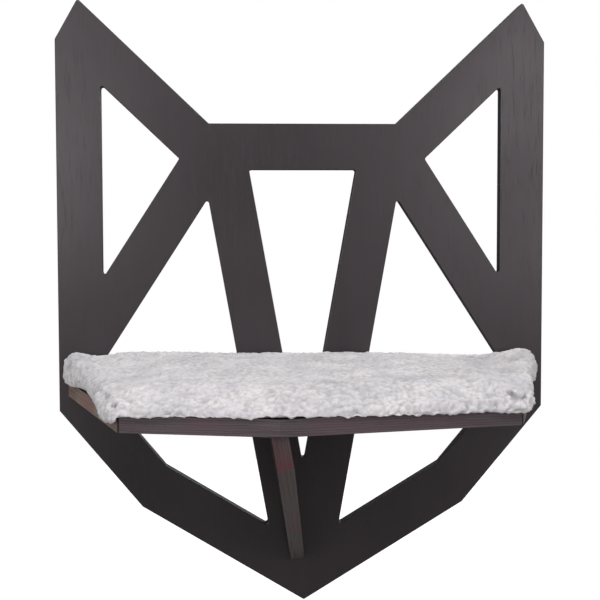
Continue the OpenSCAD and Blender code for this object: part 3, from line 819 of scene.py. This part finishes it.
def pad_slab():
    """An even slab with rounded rims, cut to the pad's edge and hollowed
    under for the base cloth."""
    bm = bmesh.new()
    base = bm.faces.new([bm.verts.new(on_shelf(*place)) for place in PAD_EDGE])
    bmesh.ops.inset_region(bm, faces=[base], thickness=PAD_SLACK, use_even_offset=True)
    bmesh.ops.delete(bm, geom=[f for f in bm.faces if f != base], context="FACES")
    pulled = bmesh.ops.extrude_face_region(bm, geom=[base])["geom"]
    lifted = [v for v in pulled if isinstance(v, bmesh.types.BMVert)]
    bmesh.ops.translate(bm, verts=lifted, vec=(0, 0, SLAB_H))
    bmesh.ops.recalc_face_normals(bm, faces=bm.faces)
    halfway = PAD_FLOOR + SLAB_H / 2
    for low, round_by in ((False, TOP_ROUND), (True, FOOT_ROUND)):
        rims = [e for e in bm.edges if max(len(f.verts) for f in e.link_faces) > 4]
        rims = [e for e in rims if (e.verts[0].co.z < halfway) == low]
        bmesh.ops.bevel(
            bm,
            geom=rims,
            offset=round_by,
            segments=4,
            profile=0.5,
            affect="EDGES",
            material=-1,
            clamp_overlap=True,
        )
    under = [f for f in bm.faces if f.normal.z < -BROADSIDE and len(f.verts) > 4]
    bmesh.ops.inset_region(bm, faces=under, thickness=BASE_INSET, use_even_offset=True)
    hollow = list({v for f in under for v in f.verts})
    bmesh.ops.translate(bm, verts=hollow, vec=(0, 0, PAD_BASE - PAD_FLOOR))
    return new_piece("fleece_pad", bm)


def apply_modifiers(piece):
    """Bakes a piece's modifiers into its mesh."""
    graph = bpy.context.evaluated_depsgraph_get()
    baked = bpy.data.meshes.new_from_object(piece.evaluated_get(graph))
    piece.modifiers.clear()
    old = piece.data
    piece.data = baked
    bpy.data.meshes.remove(old)


def evened(piece, size):
    """Remakes the mesh in even cells of one size."""
    remesh = piece.modifiers.new("even", "REMESH")
    remesh.mode = "VOXEL"
    remesh.voxel_size = size
    remesh.use_smooth_shade = True
    apply_modifiers(piece)


def shaped(piece):
    """Draws the slab up to the pad's own heights: tall at the back, low in
    front, a soft valley inside the rim and a crown within it."""
    edge = dotted(PAD_EDGE, 3 * MM, closed=True)
    valley = piece.vertex_groups.new(name="held")
    for v in piece.data.vertices:
        inside = off_line(edge, v.co)
        out = min(max((FRAME_FRONT - v.co.y) / PAD_REACH, 0), 1)
        height = read_off(BACK_RIM, v.co.x) * (1 - out) + FRONT_RIM_H * out
        sway = noise.noise(Vector((v.co.x, v.co.y, 0)) * SWAYS_PER_M)
        dip = bell(inside - VALLEY_IN, VALLEY_W) * (SWAY_MEAN + SWAY_REACH * sway) * (1 - out)
        height += CROWN_H * eased(inside, *CROWN_FROM) - VALLEY_DEPTH * dip
        least = FRONT_RIM_H + (FOAM_OVER - FRONT_RIM_H) * eased(inside, *FOAM_FROM)
        height = max(height, least)
        up = (v.co.z - PAD_FLOOR) / SLAB_H
        if v.co.z > PAD_BASE + FOOT_HELD:
            v.co.z = PAD_FLOOR + up * height
            hold = min(max(dip, 0), 1) * eased(up, *VALLEY_HELD)
        else:
            hold = 1.0
        valley.add([v.index], hold, "REPLACE")


def stuffed(piece, cap):
    """Blows the pad up like a stuffed cover, its underside and its valley
    held, no point moving further than cap."""
    before = [v.co.copy() for v in piece.data.vertices]
    cloth = piece.modifiers.new("stuffing", "CLOTH")
    cloth.settings.quality = 6
    cloth.settings.use_pressure = True
    cloth.settings.uniform_pressure_force = PRESSURE
    cloth.settings.effector_weights.gravity = 0
    cloth.settings.vertex_group_mass = "held"
    for moment in range(1, STEPS + 1):
        bpy.context.scene.frame_set(moment)
    apply_modifiers(piece)
    for v, start in zip(piece.data.vertices, before):
        move = v.co - start
        if move.length > cap:
            v.co = start + move * (cap / move.length)
    bpy.context.scene.frame_set(1)


def finer(piece):
    """Halves the size of the mesh's faces, smoothly."""
    halve = piece.modifiers.new("finer", "SUBSURF")
    halve.levels = 1
    halve.render_levels = 1
    apply_modifiers(piece)


def hung_over(piece):
    """Lets the rim sag over the shelf's edge, outside it, and lays the folds, and paints their shade
    into the pile as depth."""
    folds = [dotted(line, 1 * MM) for line in FOLDS]
    depth = piece.data.attributes.new(PILE_SHADE, "FLOAT", "POINT")
    facing = [v.normal.copy() for v in piece.data.vertices]
    for v, normal in zip(piece.data.vertices, facing):
        left, front_left, front_right, right = beyond_edges(v.co)
        out = FRAME_FRONT - v.co.y
        sag = max(
            read_off(LEFT_HANG, out) * eased(left, *HANG_START),
            read_off(RIGHT_HANG, out) * eased(right, *HANG_START),
            read_off(FRONT_HANG, v.co.x) * eased(max(front_left, front_right), *HANG_START),
        )
        high = eased(v.co.z, PAD_FLOOR, PAD_FLOOR + HANG_HIGH)
        tuft = noise.noise(v.co * TUFTS_PER_M) * eased(sag, 0, TUFTS_FULL) * TUFT_DROP
        v.co.z -= (sag + tuft * (1 - high)) * (1 - TOP_HANG_LESS * high)
        folded = bell(min(fold.find(v.co)[2] for fold in folds), FOLD_W)
        v.co -= normal * FOLD_DEPTH * folded
        depth.data[v.index].value = FOLD_SHADE * folded


def napped(piece):
    """Raises the pile in small curls wherever the pad doesn't lie on anything,
    lower on top, where it is pressed flat."""
    nap = piece.vertex_groups.new(name="nap")
    facing = [v.normal.z for v in piece.data.vertices]
    for v, upward in zip(piece.data.vertices, facing):
        on_board = max(beyond_edges(v.co)) < OVER_BOARD
        free = eased(v.co.z, PAD_BASE, PAD_BASE + PILE_STARTS) if on_board else 1.0
        if upward < LOOKS_DOWN:
            free = 0.0
        nap.add([v.index], free * (1 - PRESSED_FLAT * eased(upward, *LOOKS_UP)), "REPLACE")
    flat = [v.co.copy() for v in piece.data.vertices]
    outward = [v.normal.copy() for v in piece.data.vertices]
    for name, kind, size, rise in NAP:
        pattern = bpy.data.textures.new(name, kind)
        pattern.noise_scale = size
        lift = piece.modifiers.new(name, "DISPLACE")
        lift.texture = pattern
        lift.texture_coords = "LOCAL"
        lift.strength = rise
        lift.mid_level = 0.5
        lift.vertex_group = "nap"
    apply_modifiers(piece)
    # Hollows in the pile add to its depth, which the fleece shows as painted shade
    depth = piece.data.attributes[PILE_SHADE]
    for v, start, normal in zip(piece.data.vertices, flat, outward):
        raised = (v.co - start).dot(normal) / PILE_DEEP
        depth.data[v.index].value += min(max(0.5 - raised, 0), 1)


fleece_pad = pad_slab()
evened(fleece_pad, PAD_VOXEL)
shaped(fleece_pad)
stuffed(fleece_pad, PAD_SWELL)
finer(fleece_pad)
hung_over(fleece_pad)
napped(fleece_pad)

finish_with(fleece_pad, FLEECE)
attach(fleece_pad, "pad")
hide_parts("pad_cover")

# Studio


def floor_finish(tone, roughness, glow):
    """A plain grey floor with the faintest mottling. It glows white to the eye,
    so that it meets the air unseen."""
    material = bpy.data.materials.new("studio floor")
    material.use_nodes = True
    bench = Bench(material.node_tree)
    principled = material.node_tree.nodes["Principled BSDF"]
    mottle = bench.cloudy(bench.placed(), scale=3)
    darker = [tone * 0.985] * 3 + [1]
    bench.feed(bench.between(mottle, darker, (tone, tone, tone, 1)), principled.inputs["Base Color"])
    principled.inputs["Roughness"].default_value = roughness
    seen = bench.put("LightPath").outputs["Is Camera Ray"]
    bench.feed((1, 1, 1, 1), principled.inputs["Emission Color"])
    bench.feed(bench.maths("MULTIPLY", seen, glow), principled.inputs["Emission Strength"])
    return material


FLOOR_REACH = 5.0
FLOOR_Z = -1.2
floor_bm = bmesh.new()
bmesh.ops.create_grid(floor_bm, x_segments=4, y_segments=4, size=FLOOR_REACH)
bmesh.ops.translate(floor_bm, verts=floor_bm.verts, vec=(0, 0, FLOOR_Z))
studio_floor = new_piece("studio_floor", floor_bm)
finish_with(studio_floor, floor_finish(tone=0.55, roughness=0.9, glow=1.0))


def softbox(name, place, aim, width, height, power):
    """An even rectangular light at a place, turned to what it is aimed at."""
    light = bpy.data.lights.new(name, "AREA")
    light.shape = "RECTANGLE"
    light.size = width
    light.size_y = height
    light.energy = power
    lamp = bpy.data.objects.new(name, light)
    lamp.location = place
    lamp.rotation_euler = (Vector(aim) - Vector(place)).to_track_quat("-Z", "Y").to_euler()
    bpy.context.scene.collection.objects.link(lamp)


# Each light's name, place, aim, width, height and power
for light in (
    ("wall_left", (-0.88, -1.7, 0.22), (-0.15, 0, 0.02), 0.9, 0.6, 9.3),
    ("wall_right", (0.95, -1.7, 0.22), (0.15, 0, 0.02), 0.9, 0.6, 7.7),
    ("high_left", (-0.75, -0.9, 1.3), (0, -0.1, -0.1), 0.7, 0.7, 10),
    ("high_right", (0.85, -0.9, 1.3), (0, -0.1, -0.1), 0.7, 0.7, 10),
    ("behind", (0.7, 1.5, 0.7), (0, 0, 0), 1.0, 1.0, 12),
):
    softbox(*light)


def studio_air(under, over):
    """White air behind the object, but dimmer as light: from below it glows as
    much as under says, and from above as much as over says."""
    world = bpy.data.worlds.new("studio air")
    world.use_nodes = True
    bench = Bench(world.node_tree)
    height = bench.put("SeparateXYZ", {0: bench.put("TexCoord").outputs["Generated"]}).outputs[2]
    glow = bench.span(height, -0.6, 1.0, under, over)
    seen = bench.put("LightPath").outputs["Is Camera Ray"]
    strength = bench.put("Mix", data_type="FLOAT")
    for socket, value in ((0, seen), (2, glow), (3, 1.0)):
        bench.feed(value, strength.inputs[socket])
    bench.feed(strength.outputs[0], world.node_tree.nodes["Background"].inputs["Strength"])
    world.node_tree.nodes["Background"].inputs["Color"].default_value = (1, 1, 1, 1)
    return world


bpy.context.scene.world = studio_air(0.05, 0.43)
bpy.context.scene.view_settings.view_transform = "Standard"

# Camera

# Where the photo was taken from and which way it looks, fitted to corners and
# edges of the boards that it shows
EYE = (-0.08649, -1.29896, -0.01521)
EYE_TURN = (86.619, 0.1388, -3.7202)
lens = bpy.data.cameras.new("photo_lens")
lens.sensor_width = 36
lens.lens = 75
camera = bpy.data.objects.new("photo_camera", lens)
camera.location = EYE
camera.rotation_euler = Euler([math.radians(degrees) for degrees in EYE_TURN])
bpy.context.scene.collection.objects.link(camera)
bpy.context.scene.camera = camera
